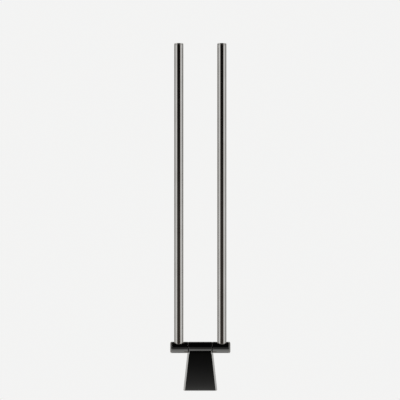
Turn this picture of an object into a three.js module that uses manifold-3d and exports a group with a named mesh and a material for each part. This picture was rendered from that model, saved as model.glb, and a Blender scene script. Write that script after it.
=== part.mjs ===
// A swivel towel rail: a tapered post stands out from the wall and carries an upright axle, on which two tube
// arms turn one above the other. +Z is up along the axle, the wall is the plane y = 0, and the arms reach out
// along -Y.
import * as THREE from 'three';
import { mergeVertices } from 'three/addons/utils/BufferGeometryUtils.js';
import Module from 'manifold-3d';

const wasm = await Module();
wasm.setup();

// Driving dimensions, in millimetres. A size in `half` is measured from the middle to one side.
const PROJECTION = 450; // wall to arm tip
const PIVOT_OUT = 54.6; // wall to swivel axis
const ARM_Z = 28; // middle of the post to the middle of each tube
const GAP = 0.25; // clearance left between neighbouring pieces
const FIT = 0.3; // clearance round a spigot in its tube, and ahead of a set screw
const BREAK = 0.3; // chamfer that takes the burr off an edge
const ROUND = 48; // sides of a large round piece
const SMALL = 32; // sides of a small round piece
const HOLE = 24; // sides of a screw hole
const PAST = 1; // how far a cut runs past the face it opens

const TUBE = { r: 6, wall: 1 };
const KNUCKLE = { r: 7.35, inner: 16.1, outer: 36.9, chamfer: 0.5, spigotEnd: 80, spigotChamfer: 1 };
const BARREL = { r: 7.35, half: 14.8, chamfer: 0.5 };

const POST = {
  base: { x: 13, z: 22 }, // half sizes of the outline at the wall
  shoulder: { x: 7, z: 16.8 }, // half sizes of the outline at the shoulder
  length: 46.9,
  edge: 2, // chamfer along the four long edges
  rim: 0.8, // chamfer round the wall edge and the shoulder
  wall: 2.5,
  cavity: 40,
  cavityCorner: 1,
  neckFrom: 35, // where the neck that carries the barrel starts, inside the solid end
};

const PLATE = { x: 9.8, z: 18, corner: 2, thick: 3, land: 1, holeR: 2.3, headR: 4.3, pitch: 16 };
const LUG = { x: 5, reach: 13, low: [-14.9, -11.9], high: [14, 17], highReach: 9 };
const GRUB = { r: 2.35, holeR: 2.6, out: 8, length: 5, socket: 2.5 };
const BOSS = { half: 4.6, low: -20, high: -16 }; // thickens the post's underside round the grub screw

// The pivot stack, given as heights above the middle of the axle.
const AXLE = { r: 3, half: 33.6, chamfer: 0.5 };
const LOCK = { r: 1.85, holeR: 2.1, length: 8, socket: 2 };
const BORE = AXLE.r + GAP;
const BARREL_BUSH = { r: 4.95, depth: 4, flangeR: 6.7, flange: 0.8 };
const ARM_BUSH = { r: 4.05, seat: 22.5, flangeR: 5.8, flange: 1 };
const WASHER = { r: 5.8, thick: 1 };
const WAVE = { r: 5.6, thick: 0.5, height: 1.4, waves: 3 };
const NUT = { flats: 10, height: 6, collar: 1.4, collarR: 4.4, cornerIn: 0.7, cornerUp: 0.5 };
const CAP = { outer: 39.2, spigot: 2.5, chamfer: 1.2 };
const WELL = WASHER.r + FIT; // radius of the knuckle's counterbore
const TIP = { flange: 2, spigot: 8, chamfer: 0.6 };
const SPIGOT = TUBE.r - TUBE.wall - FIT; // radius of what plugs into a tube

const CHROME = { color: 0xb9bdc1, roughness: 0.1, metalness: 1 };
const ZINC = { color: 0x9a9da0, roughness: 0.35, metalness: 1 };
const NYLON = { color: 0x141417, roughness: 0.6, metalness: 0 };

// ---- shapes ----

function solid(geometry) {
  geometry.deleteAttribute('normal');
  geometry.deleteAttribute('uv');
  const merged = mergeVertices(geometry);
  return new wasm.Manifold(new wasm.Mesh({
    numProp: 3,
    vertProperties: merged.attributes.position.array,
    triVerts: new Uint32Array(merged.index.array),
  }));
}

function mesh(name, shape, look) {
  const { vertProperties, triVerts } = shape.getMesh();
  const geometry = new THREE.BufferGeometry();
  geometry.setAttribute('position', new THREE.BufferAttribute(vertProperties, 3));
  geometry.setIndex(new THREE.BufferAttribute(triVerts, 1));
  geometry.computeVertexNormals();
  const made = new THREE.Mesh(geometry, new THREE.MeshStandardMaterial(look));
  made.name = name;
  return made;
}

// A solid turned about Z from [radius, height] pairs, which run up the outside. On a ring they then run down
// the inside and close.
function turned(profile, sides = SMALL) {
  const points = profile.map(([r, h]) => new THREE.Vector2(r, h));
  return solid(new THREE.LatheGeometry(points, sides).rotateX(Math.PI / 2));
}

function rod(r, low, high, sides = SMALL, lowChamfer = 0, highChamfer = 0) {
  const profile = [[0, low], [r - lowChamfer, low]];
  if (lowChamfer) profile.push([r, low + lowChamfer]);
  if (highChamfer) profile.push([r, high - highChamfer]);
  profile.push([r - highChamfer, high], [0, high]);
  return turned(profile, sides);
}

// A flanged bush: a sleeve below the height `seat` and a flange above it.
function bush(bore, sleeve, flange, bottom, seat, top) {
  const outside = [[sleeve, bottom], [sleeve, seat], [flange, seat], [flange, top]];
  return turned([[bore, bottom], ...outside, [bore, top], [bore, bottom]]);
}

// Lays a shape that stands on z = 0 down along -Y, so that its heights become distances from the wall.
const outward = (shape) => shape.rotate([90, 0, 0]);

function block(x, y, z) {
  const size = [x, y, z].map(([low, high]) => high - low);
  const middle = [x, y, z].map(([low, high]) => (low + high) / 2);
  return solid(new THREE.BoxGeometry(...size).translate(...middle));
}

// A rectangle with cut corners, from its half sizes.
function outline(x, z, corner) {
  const shape = new THREE.Shape();
  shape.moveTo(x - corner, -z);
  shape.lineTo(x, -z + corner);
  shape.lineTo(x, z - corner);
  shape.lineTo(x - corner, z);
  shape.lineTo(-x + corner, z);
  shape.lineTo(-x, z - corner);
  shape.lineTo(-x, -z + corner);
  shape.lineTo(-x + corner, -z);
  shape.closePath();
  return shape;
}

// A prism that stands out from the wall between two distances and narrows as the post does, inset by a wall.
function tapered(inset, from, to, corner, bevel = 0, halfZ = POST.base.z - inset) {
  const shape = outline(POST.base.x - inset, halfZ, corner);
  const geometry = new THREE.ExtrudeGeometry(shape, {
    depth: to - from - 2 * bevel,
    bevelEnabled: bevel > 0,
    bevelThickness: bevel,
    bevelSize: bevel,
    bevelOffset: -bevel,
    bevelSegments: 1,
  });
  geometry.translate(0, 0, from + bevel);
  const narrowsZ = halfZ > POST.shoulder.z;
  const { position } = geometry.attributes;
  for (let i = 0; i < position.count; i++) {
    const share = position.getZ(i) / POST.length;
    const drawX = share * (POST.base.x - POST.shoulder.x);
    const drawZ = narrowsZ ? share * (POST.base.z - POST.shoulder.z) : 0;
    position.setX(i, position.getX(i) - Math.sign(position.getX(i)) * drawX);
    position.setY(i, position.getY(i) - Math.sign(position.getY(i)) * drawZ);
  }
  return outward(solid(geometry));
}

// A hexagonal prism about Z.
function hexagon(flats, low, high) {
  const r = flats / Math.sqrt(3);
  const geometry = new THREE.CylinderGeometry(r, r, high - low, 6);
  return solid(geometry.rotateX(Math.PI / 2).translate(0, 0, (low + high) / 2));
}

// A socket set screw that stands on z = 0 with its point down.
function setScrew(r, length, socket) {
  const point = [[0, 0], [r * 0.5, 0], [r, r * 0.5]];
  const body = turned([...point, [r, length - BREAK], [r - BREAK, length], [0, length]]);
  return body.subtract(hexagon(socket, length / 2, length + PAST));
}

// ---- post ----

function postBody() {
  const neck = tapered(0, POST.neckFrom, PIVOT_OUT, BREAK, 0, BARREL.half);
  const barrel = rod(BARREL.r, -BARREL.half, BARREL.half, ROUND, BARREL.chamfer, BARREL.chamfer);
  const bossY = [-GRUB.out - BOSS.half, -GRUB.out + BOSS.half];
  const boss = block([-BOSS.half, BOSS.half], bossY, [BOSS.low, BOSS.high]);
  const bushWell = BARREL_BUSH.r + GAP;
  const bushFloor = BARREL.half - BARREL_BUSH.depth;
  const end = BARREL.half + PAST;
  return tapered(0, 0, POST.length, POST.edge, POST.rim)
    .add(neck)
    .add(barrel.translate([0, -PIVOT_OUT, 0]))
    .subtract(tapered(POST.wall, -PAST, POST.cavity, POST.cavityCorner))
    .add(boss)
    .subtract(rod(BORE, -end, end).translate([0, -PIVOT_OUT, 0]))
    .subtract(rod(bushWell, bushFloor, end).translate([0, -PIVOT_OUT, 0]))
    .subtract(rod(bushWell, -end, -bushFloor).translate([0, -PIVOT_OUT, 0]))
    .subtract(outward(rod(LOCK.holeR, POST.cavity - PAST, PIVOT_OUT, HOLE)))
    .subtract(rod(GRUB.holeR, -POST.base.z - PAST, BOSS.high + PAST, HOLE).translate([0, -GRUB.out, 0]));
}

function wallPlate() {
  const settings = { depth: PLATE.thick, bevelEnabled: false };
  const { holeR, headR, thick, land } = PLATE;
  const top = thick + PAST;
  let plate = outward(solid(new THREE.ExtrudeGeometry(outline(PLATE.x, PLATE.z, PLATE.corner), settings)));
  for (const side of [-1, 1]) {
    const countersink = [[holeR, -PAST], [holeR, land], [headR, thick], [headR, top]];
    const sink = outward(turned([[0, -PAST], ...countersink, [0, top]], HOLE));
    plate = plate.subtract(sink.translate([0, 0, side * PLATE.pitch / 2]));
  }
  return plate
    .add(block([-LUG.x, LUG.x], [-LUG.reach, -land], LUG.low))
    .add(block([-LUG.x, LUG.x], [-LUG.highReach, -land], LUG.high));
}

// ---- arms, built for the upper one and turned half round for the lower one ----

const stack = [];
let height = ARM_BUSH.seat + GAP + ARM_BUSH.flange;
for (const thick of [WASHER.thick, WAVE.height, NUT.height]) {
  stack.push(height + GAP);
  height += GAP + thick;
}
const [washerZ, waveZ, nutZ] = stack;

function waveWasher() {
  const section = [[BORE, 0], [WAVE.r, 0], [WAVE.r, WAVE.thick], [BORE, WAVE.thick], [BORE, 0]];
  const points = section.map(([r, h]) => new THREE.Vector2(r, h));
  const geometry = new THREE.LatheGeometry(points, ROUND).rotateX(Math.PI / 2);
  const { position } = geometry.attributes;
  const swing = (WAVE.height - WAVE.thick) / 2;
  for (let i = 0; i < position.count; i++) {
    const angle = Math.atan2(position.getY(i), position.getX(i));
    position.setZ(i, position.getZ(i) + swing * (1 + Math.cos(WAVE.waves * angle)));
  }
  return solid(geometry);
}

function lockNut() {
  const top = NUT.height;
  const shoulder = top - NUT.collar;
  const r = NUT.flats / Math.sqrt(3);
  const foot = [[r - NUT.cornerIn, 0], [r, NUT.cornerUp]];
  const head = [[r, shoulder - NUT.cornerUp], [NUT.collarR, shoulder], [NUT.collarR, top]];
  const crown = [[0, 0], ...foot, ...head, [0, top]];
  return hexagon(NUT.flats, 0, top)
    .intersect(turned(crown))
    .subtract(rod(BORE, -PAST, top + PAST, HOLE));
}

function knuckle() {
  const body = rod(KNUCKLE.r, KNUCKLE.inner, KNUCKLE.outer, ROUND, KNUCKLE.chamfer, BREAK);
  const reach = KNUCKLE.spigotEnd - PIVOT_OUT;
  const spigot = outward(rod(SPIGOT, 0, reach, SMALL, 0, KNUCKLE.spigotChamfer)).translate([0, 0, ARM_Z]);
  return body
    .add(spigot)
    .subtract(rod(ARM_BUSH.r + GAP, 0, ARM_BUSH.seat + PAST))
    .subtract(rod(WELL, ARM_BUSH.seat, KNUCKLE.outer + PAST));
}

function endCap() {
  const seat = KNUCKLE.outer + GAP;
  const spigot = rod(WELL - GAP, KNUCKLE.outer - CAP.spigot, seat + PAST);
  return rod(KNUCKLE.r, seat, CAP.outer, ROUND, BREAK, CAP.chamfer).add(spigot);
}

function tube() {
  const inner = TUBE.r - TUBE.wall;
  const end = PROJECTION - TIP.flange - GAP;
  const outside = [[TUBE.r, PIVOT_OUT], [TUBE.r, end]];
  const wall = turned([[inner, PIVOT_OUT], ...outside, [inner, end], [inner, PIVOT_OUT]], ROUND);
  const cope = rod(KNUCKLE.r + GAP, ARM_Z - TUBE.r - PAST, ARM_Z + TUBE.r + PAST, ROUND);
  return outward(wall).translate([0, PIVOT_OUT, ARM_Z]).subtract(cope);
}

function tipCap() {
  const seat = PROJECTION - TIP.flange;
  const spigot = rod(SPIGOT, seat - TIP.spigot, seat + PAST, SMALL, BREAK);
  const flange = rod(TUBE.r, seat, PROJECTION, ROUND, 0, TIP.chamfer);
  return outward(flange.add(spigot)).translate([0, PIVOT_OUT, ARM_Z]);
}

// ---- assembly ----

const rail = new THREE.Group();
rail.add(mesh('post_body', postBody(), CHROME), mesh('wall_plate', wallPlate(), ZINC));

const grub = mesh('grub_screw', setScrew(GRUB.r, GRUB.length, GRUB.socket), ZINC);
grub.rotation.x = Math.PI;
grub.position.set(0, -GRUB.out, LUG.low[0] - FIT);
rail.add(grub);

const lock = mesh('axle_lock_screw', setScrew(LOCK.r, LOCK.length, LOCK.socket), ZINC);
lock.rotation.x = -Math.PI / 2;
lock.position.set(0, AXLE.r + FIT, 0);

const pivot = new THREE.Group();
pivot.position.set(0, -PIVOT_OUT, 0);
pivot.add(mesh('axle', rod(AXLE.r, -AXLE.half, AXLE.half, SMALL, AXLE.chamfer, AXLE.chamfer), ZINC), lock);
rail.add(pivot);

for (const side of ['upper', 'lower']) {
  const arm = new THREE.Group();
  if (side === 'lower') arm.rotation.y = Math.PI;

  const bushSeat = BARREL.half + GAP;
  const bushFoot = BARREL.half - BARREL_BUSH.depth + GAP;
  const { r: bushR, flangeR, flange } = BARREL_BUSH;
  const barrelBush = bush(BORE, bushR, flangeR, bushFoot, bushSeat, bushSeat + flange);
  const armBushSeat = ARM_BUSH.seat + GAP;
  const armBush = bush(
    BORE,
    ARM_BUSH.r,
    ARM_BUSH.flangeR,
    KNUCKLE.inner + GAP,
    armBushSeat,
    armBushSeat + ARM_BUSH.flange,
  );
  const ring = [[BORE, 0], [WASHER.r, 0], [WASHER.r, WASHER.thick], [BORE, WASHER.thick], [BORE, 0]];
  const washer = mesh(side + '_flat_washer', turned(ring), ZINC);
  const wave = mesh(side + '_wave_washer', waveWasher(), ZINC);
  const nut = mesh(side + '_lock_nut', lockNut(), ZINC);
  washer.position.z = washerZ;
  wave.position.z = waveZ;
  nut.position.z = nutZ;

  arm.add(
    mesh(side + '_barrel_bush', barrelBush, NYLON),
    mesh(side + '_arm_bush', armBush, NYLON),
    washer,
    wave,
    nut,
    mesh(side + '_knuckle', knuckle(), CHROME),
    mesh(side + '_end_cap', endCap(), CHROME),
    mesh(side + '_tube', tube(), CHROME),
    mesh(side + '_tip_cap', tipCap(), CHROME),
  );
  pivot.add(arm);
}

export default rail;
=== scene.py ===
"""A swivel towel rail with two arms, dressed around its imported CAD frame. Metres, +Z along the swivel axis.

The post stands on the wall plane y = 0 and ends in the barrel. One arm turns above the barrel and the other
below it, and both reach out along -Y. Shapes are written in millimetres, and skin() makes them metres.
"""
import math

import bmesh
import bpy
from mathutils import Matrix, Vector


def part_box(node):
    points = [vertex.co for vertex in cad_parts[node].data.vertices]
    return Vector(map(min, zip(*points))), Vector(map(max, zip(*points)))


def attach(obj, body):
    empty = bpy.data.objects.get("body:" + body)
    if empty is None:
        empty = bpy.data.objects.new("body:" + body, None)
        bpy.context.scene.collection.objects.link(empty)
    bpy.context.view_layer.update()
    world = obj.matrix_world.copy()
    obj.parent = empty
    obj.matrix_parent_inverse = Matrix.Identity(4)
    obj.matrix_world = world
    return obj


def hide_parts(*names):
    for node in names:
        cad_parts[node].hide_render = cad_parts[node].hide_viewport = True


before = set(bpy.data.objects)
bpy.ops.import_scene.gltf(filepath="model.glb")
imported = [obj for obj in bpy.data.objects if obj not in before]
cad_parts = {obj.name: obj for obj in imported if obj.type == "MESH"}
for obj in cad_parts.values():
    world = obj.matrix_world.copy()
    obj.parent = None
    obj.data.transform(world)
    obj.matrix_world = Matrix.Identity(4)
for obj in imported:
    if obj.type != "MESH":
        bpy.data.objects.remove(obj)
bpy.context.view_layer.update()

MM = 0.001

# ---- places and sizes, in millimetres, read from the frame where it shows them ----


def span(node, axis):
    """Lowest and highest place of a CAD node along an axis (0 X, 1 Y, 2 Z), in millimetres."""
    low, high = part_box(node)
    return low[axis] / MM, high[axis] / MM


def middle(node, axis):
    return sum(span(node, axis)) / 2


def half(node, axis):
    low, high = span(node, axis)
    return (high - low) / 2


PLAY = 0.25  # between pieces that turn in, slide into or sit in each other
PLUG_PLAY = 0.3  # between a tube and what plugs into it

PIVOT_Y = middle("axle", 1)
AXLE_R = half("axle", 0)
BORE_R = AXLE_R + PLAY

ARM_Z = middle("upper_tube", 2)
TUBE_R = half("upper_tube", 0)
TUBE_WALL = 1.0
SPIGOT_R = TUBE_R - TUBE_WALL - PLUG_PLAY
TIP_Y = span("upper_tip_cap", 1)[0]
TIP_THICK = 2.0  # of the tip cap's plate

KNUCKLE_R = half("upper_knuckle", 0)
KNUCKLE_Z = span("upper_knuckle", 2)
KNUCKLE_BORE = 4.3  # radius of the hole that the arm bush's sleeve sits in
WELL_R = half("upper_lock_nut", 1) * 1.057  # of the well in the knuckle's outer end, just wider than the nut
BUSH_SEAT = 22.5  # height of the well's floor, which carries the arm bush

BARREL_R = KNUCKLE_R
BUSH_FLANGE = 0.8
BARREL_HALF = span("upper_barrel_bush", 2)[1] - (BUSH_FLANGE + PLAY)
BARREL_WELL = 5.2, 10.8  # radius and floor of the barrel's two wells, which take the barrel bushes

POST_TOP = -46.9  # y of the shoulder
POST_BASE = half("post_body", 0), half("post_body", 2)
POST_SHOULDER = 7.0, 16.8  # half widths in X and in Z, like POST_BASE
POST_WALL = 2.5
POST_EDGE = 2.0  # of the chamfers along the post
CROWN = 0.6  # how far the broad faces bulge between wall and shoulder
HOLLOW_END = -40  # y of the hollow's far end
GROOVE = 3.45  # from the swivel axis back to the step where the barrel ends and the neck begins

LARGE, MEDIUM, SMALL, TINY = 128, 96, 64, 48  # sides of a round body

# ---- mesh tools ----


def rounded(points, closed=False, steps=5):
    """An outline of (u, v, radius) points with each corner turned into an arc of its radius."""
    out = []
    for i, (u, v, radius) in enumerate(points):
        at = Vector((u, v))
        if not radius or (not closed and i in (0, len(points) - 1)):
            out.append((u, v))
            continue
        before = Vector(points[i - 1][:2]) - at
        after = Vector(points[(i + 1) % len(points)][:2]) - at
        bend = before.angle(after) / 2
        cut_back = min(radius / math.tan(bend), before.length * 0.49, after.length * 0.49)
        r = cut_back * math.tan(bend)
        centre = at + (before.normalized() + after.normalized()).normalized() * (r / math.sin(bend))
        start = at + before.normalized() * cut_back - centre
        sweep = (at + after.normalized() * cut_back - centre).angle_signed(start)
        for k in range(steps + 1):
            a = sweep * k / steps
            out.append((
                centre.x + start.x * math.cos(a) - start.y * math.sin(a),
                centre.y + start.x * math.sin(a) + start.y * math.cos(a),
            ))
    return out


def to_object(bm, name="shape"):
    mesh = bpy.data.meshes.new(name)
    bm.to_mesh(mesh)
    bm.free()
    obj = bpy.data.objects.new(name, mesh)
    bpy.context.scene.collection.objects.link(obj)
    return obj


def skin(loops, ring=False):
    """A closed mesh through loops of points in millimetres.

    The first and last loop are filled, or joined to each other on a ring.
    """
    bm = bmesh.new()
    rows = [[bm.verts.new(Vector(p) * MM) for p in loop] for loop in loops]
    pairs = list(zip(rows, rows[1:])) + ([(rows[-1], rows[0])] if ring else [])
    for low, high in pairs:
        for i in range(len(low)):
            j = (i + 1) % len(low)
            bm.faces.new((low[i], low[j], high[j], high[i]))
    if not ring:
        bm.faces.new(rows[0][::-1])
        bm.faces.new(rows[-1])
    bmesh.ops.remove_doubles(bm, verts=bm.verts, dist=1e-8)
    bmesh.ops.recalc_face_normals(bm, faces=bm.faces)
    return to_object(bm)


def turned(profile, sides, wobble=None, twist=None):
    """A body turned about Z from (radius, height) points. It is a ring if the profile never meets the axis.

    wobble(angle, radius, height) gives a new height, and twist(angle, radius, height) a new radius.
    """
    smallest = 0.02  # a point on the axis becomes a loop of this radius
    ring = min(r for r, _ in profile) > 0
    if profile[0] == (0, profile[1][1]):  # a flat end is filled across its outer loop
        profile = profile[1:]
    if profile[-1] == (0, profile[-2][1]):
        profile = profile[:-1]
    loops = []
    for r, h in profile:
        loop = []
        for k in range(sides):
            a = 2 * math.pi * k / sides
            radius = twist(a, r, h) if twist else max(r, smallest)
            loop.append((radius * math.cos(a), radius * math.sin(a), wobble(a, r, h) if wobble else h))
        loops.append(loop)
    return skin(loops, ring)


def moved(obj, matrix):
    obj.data.transform(matrix)
    return obj


def placed(obj, y=0, z=0):
    return moved(obj, Matrix.Translation(Vector((0, y, z)) * MM))


OUTWARD = Matrix.Rotation(math.radians(90), 4, "X")  # what stands up along +Z then lies out along -Y
UPSIDE_DOWN = Matrix.Rotation(math.pi, 4, "X")
INWARD = Matrix.Rotation(-math.pi / 2, 4, "X")  # what stands up along +Z then lies along +Y, towards the wall


def cut(obj, tool, operation="DIFFERENCE"):
    """Cuts a tool away from an object, joins it on, or keeps what they share, and drops the tool."""
    step = obj.modifiers.new("cut", "BOOLEAN")
    step.operation = operation
    step.solver = "EXACT"
    step.object = tool
    bpy.context.view_layer.update()
    done = bpy.data.meshes.new_from_object(obj.evaluated_get(bpy.context.evaluated_depsgraph_get()))
    obj.modifiers.clear()
    obj.data = done
    bpy.data.objects.remove(tool)
    return obj


def rod(r, low, high, sides=SMALL):
    """A plain round body about Z."""
    return turned([(0, low), (r, low), (r, high), (0, high)], sides)


def on_pivot(ring, sides, steps=3, wobble=None):
    """A ring about the swivel axis from a closed outline of (radius, height, corner radius) points."""
    return placed(turned(rounded(ring, True, steps), sides, wobble), y=PIVOT_Y)


def along_arm(profile, sides):
    """A body about the upper tube's axis from (radius, distance from the wall) points."""
    return placed(moved(turned(profile, sides), OUTWARD), z=ARM_Z)


def finished(obj, name, body, look, nodes):
    """Names a piece, shades it, and puts it on its body in place of its CAD nodes."""
    crease = 34  # degrees between faces from which an edge stays sharp
    obj.name = obj.data.name = name
    obj.data.materials.clear()
    obj.data.materials.append(look)
    for face in obj.data.polygons:
        face.use_smooth = True
    obj.data.set_sharp_from_angle(angle=math.radians(crease))
    normals = obj.modifiers.new("normals", "WEIGHTED_NORMAL")
    normals.keep_sharp = True
    normals.weight = 100
    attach(obj, body)
    if nodes:
        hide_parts(*nodes)


# ---- materials ----


class Nodes:
    """Short ways to add nodes to a tree and to link them."""

    def __init__(self, tree):
        self.tree = tree

    def add(self, kind, **values):
        node = self.tree.nodes.new(kind)
        for key, value in values.items():
            setattr(node, key, value)
        return node

    def feed(self, socket, value):
        """Gives an input the output of a node, or a value of its own."""
        if isinstance(value, bpy.types.NodeSocket):
            self.tree.links.new(value, socket)
        else:
            socket.default_value = value

    def math(self, operation, *values):
        node = self.add("ShaderNodeMath", operation=operation)
        for socket, value in zip(node.inputs, values):
            self.feed(socket, value)
        return node.outputs[0]

    def ramp(self, source, start, end, low=0.0, high=1.0):
        """source from start to end becomes a number from low to high, eased at both."""
        node = self.add("ShaderNodeMapRange", interpolation_type="SMOOTHSTEP")
        self.feed(node.inputs["Value"], source)
        for key, value in (("From Min", start), ("From Max", end), ("To Min", low), ("To Max", high)):
            self.feed(node.inputs[key], value)
        return node.outputs["Result"]

    def mix(self, share, one, other):
        """The colour one where share is 0, and other where it is 1."""
        node = self.add("ShaderNodeMix", data_type="RGBA")
        self.feed(node.inputs[0], share)
        for socket, colour in ((node.inputs[6], one), (node.inputs[7], other)):
            self.feed(socket, (*colour, 1) if isinstance(colour, tuple) else colour)
        return node.outputs[2]

    def axes(self, vector):
        node = self.add("ShaderNodeSeparateXYZ")
        self.feed(node.inputs[0], vector)
        return node.outputs


class Look(Nodes):
    """A principled material, patterned in object space."""

    def __init__(self, name, **values):
        self.material = bpy.data.materials.new(name)
        self.material.use_nodes = True
        super().__init__(self.material.node_tree)
        self.shader = self.tree.nodes["Principled BSDF"]
        for key, value in values.items():
            self.shader.inputs[key.replace("_", " ")].default_value = value
        self.place = self.add("ShaderNodeTexCoord").outputs["Object"]

    def spread(self, scale, stretch=(1, 1, 1)):
        """Object space with scale units to the metre, times stretch along each axis."""
        node = self.add("ShaderNodeMapping")
        node.inputs["Scale"].default_value = [scale * s for s in stretch]
        self.feed(node.inputs["Vector"], self.place)
        return node.outputs["Vector"]

    def noise(self, scale, detail, stretch=(1, 1, 1)):
        node = self.add("ShaderNodeTexNoise")
        self.feed(node.inputs["Vector"], self.spread(scale, stretch))
        for key, value in (("Scale", 1.0), ("Detail", detail), ("Roughness", 0.55)):
            self.feed(node.inputs[key], value)
        return node.outputs["Fac"]

    def cells(self, scale):
        node = self.add("ShaderNodeTexVoronoi", feature="DISTANCE_TO_EDGE")
        self.feed(node.inputs["Vector"], self.spread(scale))
        return node.outputs["Distance"]

    def tint(self, source, one, other):
        """The colour one where the pattern is low, and other where it is high."""
        self.feed(self.shader.inputs["Base Color"], self.mix(self.ramp(source, 0.3, 0.7), one, other))

    def roughness(self, source):
        self.feed(self.shader.inputs["Roughness"], source)

    def bumps(self, *layers):
        """Each layer is (pattern, strength, distance in metres), stacked into one normal."""
        normal = None
        for source, strength, distance in layers:
            bump = self.add("ShaderNodeBump")
            for key, value in (("Height", source), ("Strength", strength), ("Distance", distance)):
                self.feed(bump.inputs[key], value)
            if normal:
                self.feed(bump.inputs["Normal"], normal)
            normal = bump.outputs["Normal"]
        self.feed(self.shader.inputs["Normal"], normal)


def chrome(name, grain, base=0.05, hazed=None):
    """Polished chrome plate. grain stretches its faint polishing lines: small along the way the buff ran.

    base is the roughness where it is cleanest. hazed is (roughness, start, end): how much hazier the plate gets
    from one place along Y to another.
    """
    look = Look(name, Metallic=1.0)
    smudge = look.noise(38, 4)
    lines = look.noise(2600, 2, grain)
    peel = look.noise(420, 1)
    smudged = look.ramp(smudge, 0.42, 0.75, base, base + 0.04)
    haze = look.math("ADD", smudged, look.ramp(lines, 0.4, 0.8, 0.0, 0.02))
    if hazed:
        amount, start, end = hazed
        along = look.axes(look.place)[1]
        haze = look.math("ADD", haze, look.ramp(along, start * MM, end * MM, 0.0, amount))
    look.tint(smudge, (0.8, 0.8, 0.79), (0.74, 0.735, 0.72))
    look.roughness(haze)
    look.bumps((lines, 0.02, 1e-5), (peel, 0.015, 3e-5))
    return look.material


def zinc(name):
    """Bright zinc plate: cool grey, with a faint straw and blue bloom and fine grain."""
    look = Look(name, Metallic=1.0)
    bloom = look.noise(160, 3)
    grain = look.noise(3200, 2)
    look.tint(bloom, (0.6, 0.62, 0.66), (0.66, 0.63, 0.55))
    look.roughness(look.math("ADD", look.ramp(bloom, 0, 1, 0.2, 0.3), look.ramp(grain, 0, 1, 0.0, 0.1)))
    look.bumps((grain, 0.15, 3e-5))
    return look.material


def spring_steel(name):
    """Oiled spring steel, dark and brownish, with fine draw lines."""
    look = Look(name, Metallic=1.0)
    oil = look.noise(300, 4)
    grain = look.noise(2600, 2, (1, 1, 3))
    look.tint(oil, (0.2, 0.19, 0.18), (0.33, 0.3, 0.26))
    look.roughness(look.ramp(oil, 0, 1, 0.22, 0.42))
    look.bumps((grain, 0.2, 4e-5))
    return look.material


def nylon(name, one, other):
    """Moulded nylon with a fine spark-eroded skin, clouded from one colour to the other."""
    look = Look(name, Metallic=0.0, Specular_IOR_Level=0.3)
    cloud = look.noise(220, 3)
    eroded = look.cells(2400)
    look.tint(cloud, one, other)
    look.roughness(look.ramp(cloud, 0, 1, 0.55, 0.7))
    look.bumps((eroded, 0.25, 3e-5))
    return look.material


TUBE_CHROME = chrome("tube_chrome", (1, 0.02, 1), hazed=(0.06, TIP_Y, PIVOT_Y))
TIP_CHROME = chrome("tip_chrome", (0.15, 1, 0.15), hazed=(0.3, TIP_Y + 0.4, TIP_Y + 0.02))  # a satin end face
TURNED_CHROME = chrome("turned_chrome", (0.15, 0.15, 2.5))
CAST_CHROME = chrome("cast_chrome", (1, 0.35, 1), base=0.045)
ZINC = zinc("bright_zinc")
SPRING = spring_steel("spring_steel")
NYLON = nylon("black_nylon", (0.012, 0.012, 0.013), (0.024, 0.024, 0.026))
INSERT = nylon("blue_nylon_insert", (0.03, 0.06, 0.2), (0.05, 0.09, 0.28))

# ---- the post ----


def post_half(y):
    """Half width in X and in Z of the post at a place y, which is negative."""
    t = y / POST_TOP
    bulge = CROWN * 4 * t * (1 - t) if t < 1 else 0.0
    x = POST_BASE[0] + (POST_SHOULDER[0] - POST_BASE[0]) * t + bulge
    z = POST_BASE[1] + (POST_SHOULDER[1] - POST_BASE[1]) * t
    return min(x, POST_BASE[0]), z


def section(y, x, z, corner, soften=0.5, steps=3):
    """A cross-section at y: a rectangle of half widths x and z with its corners cut and just softened."""
    outline = []
    for sx, sz in ((1, -1), (1, 1), (-1, 1), (-1, -1)):
        side, end = (sx * x, sz * (z - corner), soften), (sx * (x - corner), sz * z, soften)
        outline += [end, side] if sx * sz < 0 else [side, end]
    return [(u, y, w) for u, w in rounded(outline, True, steps)]


def post_shell():
    """The tapered outside, with its rim rounded off at the wall and a finer edge round the shoulder."""
    rim, top_rim = 0.9, 0.3
    near, far, count = 1.6, 1.4, 22  # the plain rows: how far off the wall and the shoulder, and how many steps
    rows = [(0.0, rim), (-0.12, rim * 0.8), (-0.45, rim * 0.45), (-rim, 0.03), (-rim - 0.15, 0.0)]
    rows += [(-near - (abs(POST_TOP) - (near + far)) * k / count, 0.0) for k in range(count + 1)]
    rows += [(POST_TOP + top_rim + 0.1, 0.0), (POST_TOP + top_rim, 0.01), (POST_TOP + 0.09, top_rim * 0.3),
             (POST_TOP, top_rim)]
    loops = []
    for y, inset in rows:
        x, z = post_half(y)
        loops.append(section(y, x - inset, z - inset, POST_EDGE - inset * 0.4, steps=4))
    return skin(loops)


def neck():
    """The part from the shoulder to the barrel. It leaves the shoulder flush, and falls away to the groove."""
    depth = POST_SHOULDER[0]
    start = -42.0  # inside the post
    drop = 0.1  # from the barrel's ends down to the neck's
    rows = [(start, depth + 0.75), (POST_TOP, depth - 0.01), (PIVOT_Y + 6.0, depth - 0.28),
            (PIVOT_Y + GROOVE, depth - 1.05), (PIVOT_Y, depth - 1.3)]
    return skin([section(y, x, BARREL_HALF - drop, 0.4, 0.2, 2) for y, x in rows])


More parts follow.
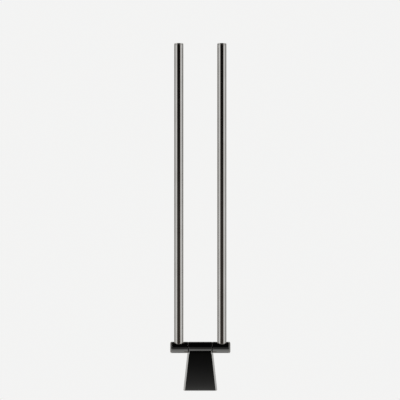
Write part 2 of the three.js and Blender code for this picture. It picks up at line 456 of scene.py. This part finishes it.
def barrel():
    """The barrel, cut off behind the groove either side of the neck."""
    edge, inner, clear = 0.04, 5.5, 9.0  # the boxes start at inner and end at clear, past the barrel
    profile = [(0, -BARREL_HALF, 0), (BARREL_R, -BARREL_HALF, edge), (BARREL_R, BARREL_HALF, edge),
               (0, BARREL_HALF, 0)]
    body = turned(rounded(profile), LARGE)
    z = BARREL_HALF + 1
    for low, high in ((-clear, -inner), (inner, clear)):
        box = [[(low, y, -z), (high, y, -z), (high, y, z), (low, y, z)] for y in (GROOVE, clear)]
        cut(body, skin(box))
    return placed(body, y=PIVOT_Y)


def hollow():
    """The inside of the post, open at the wall, with a slope round its far end."""
    loops = []
    for y in (2, 0, -10, -20, -30, HOLLOW_END + 1, HOLLOW_END):
        x, z = post_half(min(y, 0))
        wall = POST_WALL + (1.0 if y == HOLLOW_END else 0.0)
        loops.append(section(y, x - wall, z - wall, 1.2))
    return skin(loops)


def grub_hole():
    """The hole in the underside for the grub screw, with a countersunk mouth."""
    mouth, bore = 3.3, 2.6
    outside, inside = -26, -15  # clear of the post's underside, and in the hollow
    profile = [(0, outside, 0), (mouth, outside, 0), (mouth, -21.8, 0), (bore, -20.9, 0.1), (bore, inside, 0),
               (0, inside, 0)]
    return placed(turned(rounded(profile), SMALL), y=middle("grub_screw", 1))


def post():
    body = post_shell()
    cut(body, neck(), "UNION")
    cut(body, barrel(), "UNION")
    cut(body, hollow())
    boss = [section(y, 4.6, 2.2, 0.8, 0.3) for y in (-3.6, -12.4)]  # thickens the underside for the grub screw
    cut(body, placed(skin(boss), z=-18.2), "UNION")
    well, floor_z = BARREL_WELL
    past = 20  # clear of the barrel's ends
    for r, low, high in ((BORE_R, -past, past), (well, floor_z, past), (well, -past, -floor_z)):
        cut(body, placed(rod(r, low, high), y=PIVOT_Y))
    lock_hole, start = 2.1, 39  # the lock screw's radius with its play, and where its hole leaves the hollow
    cut(body, moved(rod(lock_hole, start, -PIVOT_Y, TINY), OUTWARD))
    cut(body, grub_hole())
    finished(body, "post_shell", "post", CAST_CHROME, ["post_body"])


def slab(x, z, corner, near, far, edge, middle_z=0.0):
    """A plate that stands out from the wall between two distances, with all its edges rounded."""
    small = 0.3 * edge
    rows = ((near, edge), (near - small, small), (near - edge, 0),
            (far + edge, 0), (far + small, small), (far, edge))
    loops = [section(y, x - inset, z - inset, corner, 0.6) for y, inset in rows]
    return placed(skin(loops), z=middle_z)


def wall_plate():
    """The plate inside the post's wall end, with its two lugs and two countersunk holes."""
    thick, hole, head, hole_z = 3, 2.3, 4.3, 8.0
    reach = span("wall_plate", 1)[0]
    plate = slab(half("wall_plate", 0), half("wall_plate", 2), 2.0, 0, -thick, 0.35)
    for middle_z, far in ((-13.4, reach), (15.5, -9)):
        cut(plate, slab(5, 1.5, 0.4, -1, far, 0.3, middle_z), "UNION")
    sink = rounded([(0, -1, 0), (hole, -1, 0), (hole, thick - 2, 0.15), (head, thick, 0),
                    (head, thick + 2, 0), (0, thick + 2, 0)])
    for z in (-hole_z, hole_z):
        cut(plate, placed(moved(turned(sink, SMALL), OUTWARD), z=z))
    finished(plate, "wall_plate_piece", "post", ZINC, ["wall_plate"])


def thread(pitch, depth, low, high):
    """The radius of a screw thread of that pitch and depth between two heights, fading out at both."""
    def radius(a, r, h):
        fade = max(0.0, min(1.0, (h - low) / pitch, (high - h) / pitch))
        return r - depth * fade * (0.5 - 0.5 * math.cos(2 * math.pi * h / pitch - a))
    return radius


def screw_rows(r, low, high, pitch):
    """The rows of a threaded stretch: eight to each turn of the thread."""
    count = int((high - low) / pitch * 8)
    return [(r, low + (high - low) * k / count) for k in range(count + 1)]


def hexagon(flats, low, high, turn=0.0):
    r = flats / math.sqrt(3)
    angles = [math.pi * k / 3 + turn for k in range(6)]
    return skin([[(r * math.cos(a), r * math.sin(a), h) for a in angles] for h in (low, high)])


def set_screw(r, length, pitch, socket):
    """A socket set screw that stands on its point at height 0."""
    rows = [(0.0, 0.0), (r * 0.5, 0.0), (r * 0.55, 0.05)]
    rows += screw_rows(r, r * 0.5, length - 0.3, pitch) + [(r - 0.3, length), (0.0, length)]
    body = turned(rows, TINY, twist=thread(pitch, pitch * 0.5, r * 0.4, length - 0.1))
    return cut(body, hexagon(socket, length * 0.45, length + 1))


def post_hardware():
    """The grub screw, the axle's lock screw and the axle, with its two threaded ends."""
    grub = moved(set_screw(half("grub_screw", 0), 5, 0.8, 2.5), UPSIDE_DOWN)
    placed(grub, y=middle("grub_screw", 1), z=span("grub_screw", 2)[1])
    finished(grub, "grub_screw_piece", "post", ZINC, ["grub_screw"])

    lock = moved(set_screw(half("axle_lock_screw", 0), 8, 0.7, 2), INWARD)
    placed(lock, y=span("axle_lock_screw", 1)[0])
    finished(lock, "axle_lock_screw_piece", "post", ZINC, ["axle_lock_screw"])

    start, end, edge, pitch, depth = 24.0, span("axle", 2)[1], 0.5, 1.0, 0.55
    above, below = thread(pitch, depth, start, end), thread(pitch, depth, -end, -start)
    rows = [(0, -end), (AXLE_R - edge, -end)] + screw_rows(AXLE_R, -end + edge, -start, pitch)
    rows += screw_rows(AXLE_R, start, end - edge, pitch) + [(AXLE_R - edge, end), (0, end)]
    axle = turned(rows, SMALL, twist=lambda a, r, h: (above if h > 0 else below)(a, r, h))
    finished(placed(axle, y=PIVOT_Y), "axle_piece", "post", ZINC, ["axle"])


# ---- the upper arm and the upper half of the pivot, which are turned over for the lower ones ----


def tube():
    """The tube, coped over the knuckle. Its end follows the knuckle's curve with a rounded lip."""
    gap, lip_r = 0.07, 0.85  # between knuckle and lip, and the radius of the lip's rounding
    back, seam = 3.0, 20  # how far the coped rows run on behind the lip, and how far out the plain rows start
    inner, far = TUBE_R - TUBE_WALL, TIP_Y + TIP_THICK + PLAY
    turns = [2 * math.pi * k / LARGE for k in range(LARGE)]

    def coped(r, behind):
        """A row of that radius which lies that far behind the tube's coped end."""
        row = []
        for a in turns:
            x = r * math.cos(a)
            y = PIVOT_Y - math.sqrt((KNUCKLE_R + gap) ** 2 - x * x) - behind
            row.append((x, y, ARM_Z + r * math.sin(a)))
        return row

    def plain(r, y):
        return [(r * math.cos(a), y, ARM_Z + r * math.sin(a)) for a in turns]

    quarter = [k * math.pi / 14 for k in range(8)]
    lip = [(TUBE_R, back), (TUBE_R, lip_r + 0.3)]
    lip += [(TUBE_R - lip_r * (1 - math.cos(a)), lip_r * (1 - math.sin(a))) for a in quarter]
    lip += [(inner, 0.0), (inner, back)]
    start, count = PIVOT_Y - seam, 24
    along = [start + (far + 1 - start) * k / count for k in range(count + 1)]
    loops = [coped(r, behind) for r, behind in lip]
    loops += [plain(inner, y) for y in along]
    loops += [plain(inner, far), plain(TUBE_R - 0.2, far), plain(TUBE_R - 0.06, far + 0.06)]
    loops += [plain(TUBE_R, far + 0.2)] + [plain(TUBE_R, y) for y in reversed(along)]
    return skin(loops, ring=True)


def tip_cap():
    """A round plate that closes the tube's far end, with a spigot into the tube."""
    back = TIP_Y + TIP_THICK
    outline = [
        (0, TIP_Y + 10, 0), (SPIGOT_R, TIP_Y + 10, 0.6), (SPIGOT_R, back, 0.1), (TUBE_R, back, 0.15),
        (TUBE_R, TIP_Y + 0.45, 0.2), (TUBE_R - 0.45, TIP_Y + 0.02, 0.2), (0, TIP_Y, 0),
    ]
    return along_arm([(r, -y) for r, y in rounded(outline)], LARGE)


def knuckle():
    """The round cross piece on the axle, with a well in its outer end and the spigot that carries the tube."""
    low, high = KNUCKLE_Z
    ring = [
        (KNUCKLE_BORE, low, 0.2), (KNUCKLE_R, low, 0.04), (KNUCKLE_R, high, 0.13), (WELL_R, high, 0.1),
        (WELL_R, BUSH_SEAT, 0.3), (KNUCKLE_BORE, BUSH_SEAT, 0.1),
    ]
    root, end = -PIVOT_Y + 7.2, -PIVOT_Y + 24
    spigot = rounded([(0, root, 0), (SPIGOT_R, root, 0), (SPIGOT_R, end, 1.0), (0, end, 0)])
    return cut(on_pivot(ring, LARGE), along_arm(spigot, SMALL), "UNION")


def end_cap():
    """The cap on the knuckle's outer end, with a plug down into the well."""
    seat, top = KNUCKLE_Z[1] + PLAY, span("upper_end_cap", 2)[1]
    plug_r, foot = WELL_R - PLAY, seat - 2.7
    profile = [
        (0, foot, 0), (plug_r, foot, 0.4), (plug_r, seat, 0.1), (KNUCKLE_R, seat, 0.1),
        (KNUCKLE_R, top - 1.2, 0.25), (KNUCKLE_R - 1.2, top - 0.15, 0.3), (0, top, 0),
    ]
    return placed(turned(rounded(profile), LARGE), y=PIVOT_Y)


def bush(low, seat, high, sleeve, flange, edge):
    """A plain bearing: a sleeve from low to seat, and from there to high a flange with rounded edges."""
    ring = [(BORE_R, low, 0.2), (sleeve, low, 0.3), (sleeve, seat, 0.1), (flange, seat, edge),
            (flange, high, edge), (BORE_R, high, 0.2)]
    return on_pivot(ring, MEDIUM)


def arm_bush():
    low, high = span("upper_arm_bush", 2)
    return bush(low, high - 1.0, high, 4.05, half("upper_arm_bush", 0), 0.2)


def barrel_bush():
    """Its flange fills the gap between barrel and knuckle, which the wave washers press shut."""
    low, flange = span("upper_barrel_bush", 2)[0], half("upper_barrel_bush", 0) + PLAY
    seat, high = BARREL_HALF + 0.02, KNUCKLE_Z[0] - 0.04  # a hair off the barrel and off the knuckle
    return bush(low, seat, high, BARREL_WELL[0] - PLAY, flange, 0.15)


def flat_washer():
    low, high = span("upper_flat_washer", 2)
    r = half("upper_flat_washer", 0)
    return on_pivot([(BORE_R, low, 0.05), (r, low, 0.08), (r, high, 0.35), (BORE_R, high, 0.2)], MEDIUM, 4)


def wave_washer():
    """A spring washer with three waves round it."""
    low, high = span("upper_wave_washer", 2)
    r, thick, edge, waves = half("upper_wave_washer", 0), 0.5, 0.08, 3
    swing = (high - low - thick) / 2
    ring = [(BORE_R, low, edge), (r, low, edge), (r, low + thick, edge), (BORE_R, low + thick, edge)]
    return on_pivot(ring, 48 * waves, wobble=lambda a, _, h: h + swing * (1 + math.cos(waves * a)))


def lock_nut():
    """A hexagon with chamfered corners, a collar on its far end, and the recess that holds its insert."""
    low, high = span("upper_lock_nut", 2)
    flats = half("upper_lock_nut", 0) * 2
    corner, shoulder, collar, recess = flats / math.sqrt(3), high - 1.4, 4.4, 3.75
    outside = [(0, low, 0), (corner - 0.75, low, 0), (corner + 0.05, low + 0.45, 0),
               (corner + 0.05, shoulder - 0.45, 0), (corner - 0.75, shoulder, 0.1), (collar, shoulder, 0.25),
               (collar, high, 0.5), (0, high, 0)]
    inside = [(0, low - 1, 0), (BORE_R + 0.5, low - 1, 0), (BORE_R + 0.5, low, 0), (BORE_R, low + 0.5, 0),
              (BORE_R, high - 2.2, 0), (recess, high - 2.2, 0), (recess, high + 1, 0), (0, high + 1, 0)]
    nut = cut(hexagon(flats, low, high, math.pi / 6), turned(rounded(outside), MEDIUM), "INTERSECT")
    return placed(cut(nut, turned(rounded(inside), SMALL)), y=PIVOT_Y)


def nut_insert():
    """The nylon ring that grips the axle's thread."""
    high = span("upper_lock_nut", 2)[1]
    grip, r, foot, top = BORE_R - 0.15, 3.65, high - 2.1, high - 0.35
    return on_pivot([(grip, foot, 0.3), (r, foot, 0.1), (r, top, 0.2), (grip, top, 0.3)], SMALL, 4)


ARM_PIECES = (  # shape, name, whether it swings with the arm, slot, material
    (tube, "tube", True, "chrome", TUBE_CHROME),
    (tip_cap, "tip_cap", True, "chrome", TIP_CHROME),
    (knuckle, "knuckle", True, "chrome", TURNED_CHROME),
    (end_cap, "end_cap", True, "chrome", TURNED_CHROME),
    (arm_bush, "arm_bush", True, "black_nylon", NYLON),
    (barrel_bush, "barrel_bush", False, "black_nylon", NYLON),
    (flat_washer, "flat_washer", False, "zinc_steel", ZINC),
    (wave_washer, "wave_washer", False, "spring_steel", SPRING),
    (lock_nut, "lock_nut", False, "zinc_steel", ZINC),
)


def arms():
    for side, turn in (("upper", Matrix.Identity(4)), ("lower", Matrix.Rotation(math.pi, 4, "Y"))):
        for shape, part, swings, slot, look in ARM_PIECES:
            name, body = f"{side}_{part}", f"{side}_arm" if swings else "post"
            finished(moved(shape(), turn), name + "_piece", body, look, [name])
        finished(moved(nut_insert(), turn), f"{side}_nut_insert", "post", INSERT, [])


# ---- floor, light and camera ----

BACKDROP = (0.9, 0.9, 0.895, 1)


def floor():
    """A pale floor far below the rail. It has a little light of its own, and the chrome doesn't mirror it."""
    reach, depth, glow = 8.0, 2.0, 0.45
    bm = bmesh.new()
    bmesh.ops.create_grid(bm, x_segments=8, y_segments=8, size=reach)
    obj = to_object(bm, "floor")
    obj.location = (0, -0.25, -depth)
    look = Look("pale_floor", Emission_Color=BACKDROP, Emission_Strength=glow)
    cloud = look.noise(6, 2)
    look.tint(cloud, (0.88, 0.88, 0.87), (0.92, 0.92, 0.915))
    look.roughness(look.ramp(cloud, 0, 1, 0.6, 0.75))
    obj.data.materials.append(look.material)
    obj.visible_glossy = False


def tent_front(nodes, dy):
    """What the chrome mirrors from the photograph's side, by how far a direction points towards the wall.

    The round barrel and knuckles mirror all of it, and the post's broad face and the tubes' dark lines mirror
    a stretch around 0.
    """
    points = [(-1.0, 0.0012), (-0.35, 0.0025), (-0.22, 0.0045), (-0.11, 0.013), (-0.03, 0.03),
              (0.01, 0.05), (0.06, 0.025), (0.11, 0.008), (0.2, 0.01), (0.34, 0.035), (0.5, 0.088),
              (0.65, 0.135), (0.88, 0.185), (1.0, 0.225)]
    points = [((towards_wall + 1) / 2, level) for towards_wall, level in points]
    curve = nodes.add("ShaderNodeFloatCurve")
    line = curve.mapping.curves[0]
    line.points[0].location = points[0]
    line.points[1].location = points[-1]
    for point in points[1:-1]:
        line.points.new(*point)
    for point in line.points:
        point.handle_type = "AUTO_CLAMPED"
    curve.mapping.update()
    share = nodes.add("ShaderNodeMapRange")  # -1 to 1 as 0 to 1, which is as far as a curve goes
    nodes.feed(share.inputs["From Min"], -1.0)
    nodes.feed(share.inputs["Value"], dy)
    nodes.feed(curve.inputs["Value"], share.outputs["Result"])
    return curve.outputs[0]


def tent_level(nodes, dx, dy, across):
    """How bright the tent is in a direction.

    dx is how far it points to the camera's side, dy how far to the wall, and across how far up or down.
    """

    def blend(share, a, b):
        """a where share is 0 and b where it is 1."""
        gap = nodes.math("SUBTRACT", b, a)
        return nodes.math("ADD", a, nodes.math("MULTIPLY", gap, share))

    ramp = nodes.ramp
    front = blend(ramp(across, 0.04, 0.12), tent_front(nodes, dy), ramp(dy, -0.08, 0.12, 0.006, 0.05))
    bright = nodes.math("MULTIPLY", ramp(across, 0.72, 1.0, 0.75, 0.6), ramp(dy, -0.75, -0.35, 0.05, 1.0))
    bright = blend(ramp(dy, 0.25, 0.5), bright, 0.95)
    back = blend(ramp(across, 0.15, 0.5), ramp(dy, -0.05, 0.3, 0.004, 0.19), ramp(dy, -0.9, -0.4, 0.03, 0.26))
    level = blend(ramp(across, 0.54, 0.8), front, bright)
    level = blend(ramp(dx, 0.1, -0.25), level, back)

    off_middle = ramp(across, 0.15, 0.4)
    past_tips = nodes.math("MULTIPLY", ramp(dy, -0.65, -0.3, 0.5, 0.0), off_middle)
    past_wall = nodes.math("MULTIPLY", ramp(dy, 0.3, 0.65, 0.0, 0.45), off_middle)
    far_side = ramp(dx, -0.95, -0.75, 0.5, 0.0)
    for lift in (past_tips, past_wall, far_side):
        level = nodes.math("MAXIMUM", level, lift)
    return level


def studio():
    """A soft tent that the chrome mirrors, and a plain pale backdrop for the camera.

    The tent is bright above and below, which gives the tubes their bright flanks, and dark on the photograph's
    side. It is paler past the tips, past the wall and far behind, for the other views.
    """
    world = bpy.data.worlds.new("studio")
    bpy.context.scene.world = world
    world.use_nodes = True
    nodes = Nodes(world.node_tree)
    nodes.tree.nodes.clear()

    dx, dy, dz = nodes.axes(nodes.add("ShaderNodeTexCoord").outputs["Generated"])
    across = nodes.math("ABSOLUTE", dz)
    level = tent_level(nodes, dx, dy, across)

    white, flank_tint, dim_tint = (1.0, 0.995, 0.98), (1.0, 0.94, 0.87), (1.0, 0.8, 0.68)
    off_middle = nodes.ramp(across, 0.05, 0.25)
    flank = nodes.math("MULTIPLY", off_middle, nodes.ramp(across, 0.6, 0.85, 1.0, 0.0))
    dim = nodes.math("MULTIPLY", off_middle, nodes.ramp(level, 0.0, 0.3, 1.0, 0.0))
    tent = nodes.add("ShaderNodeBackground")
    nodes.feed(tent.inputs["Color"], nodes.mix(dim, nodes.mix(flank, white, flank_tint), dim_tint))
    nodes.feed(tent.inputs["Strength"], level)

    plain = nodes.add("ShaderNodeBackground")
    nodes.feed(plain.inputs["Color"], BACKDROP)
    chosen = nodes.add("ShaderNodeMixShader")
    nodes.feed(chosen.inputs[0], nodes.add("ShaderNodeLightPath").outputs["Is Camera Ray"])
    nodes.feed(chosen.inputs[1], tent.outputs[0])
    nodes.feed(chosen.inputs[2], plain.outputs[0])
    nodes.feed(nodes.add("ShaderNodeOutputWorld").inputs["Surface"], chosen.outputs[0])


def overhead():
    """A large, dim lamp over the rail, which the chrome doesn't mirror."""
    place, target, width, power = Vector((0.3, -0.3, 1.6)), Vector((0, -0.25, 0)), 1.2, 18
    data = bpy.data.lights.new("overhead", "AREA")
    data.shape = "RECTANGLE"
    data.size = data.size_y = width
    data.energy = power
    lamp = bpy.data.objects.new("overhead", data)
    bpy.context.scene.collection.objects.link(lamp)
    lamp.location = place
    lamp.rotation_euler = (target - place).to_track_quat("-Z", "Y").to_euler()
    lamp.visible_camera = False
    lamp.visible_glossy = False


def camera():
    """The photograph's view: from +X, with the arms pointing up the picture and +Z to its right."""
    distance, field, sensor = 1.6, 0.5186, 36.0  # field is the picture's width in metres, at the rail
    centre_y, centre_z = -0.2464, -0.0004
    data = bpy.data.cameras.new("camera")
    data.lens = sensor * distance / field
    data.sensor_width = sensor
    obj = bpy.data.objects.new("camera", data)
    bpy.context.scene.collection.objects.link(obj)
    right, up, back = Vector((0, 0, 1)), Vector((0, -1, 0)), Vector((1, 0, 0))
    turn = Matrix((right, up, back)).transposed().to_4x4()
    obj.matrix_world = Matrix.Translation((distance + TUBE_R * MM, centre_y, centre_z)) @ turn
    bpy.context.scene.camera = obj


post()
wall_plate()
post_hardware()
arms()
floor()
studio()
overhead()
camera()
bpy.context.scene.view_settings.view_transform = "Standard"
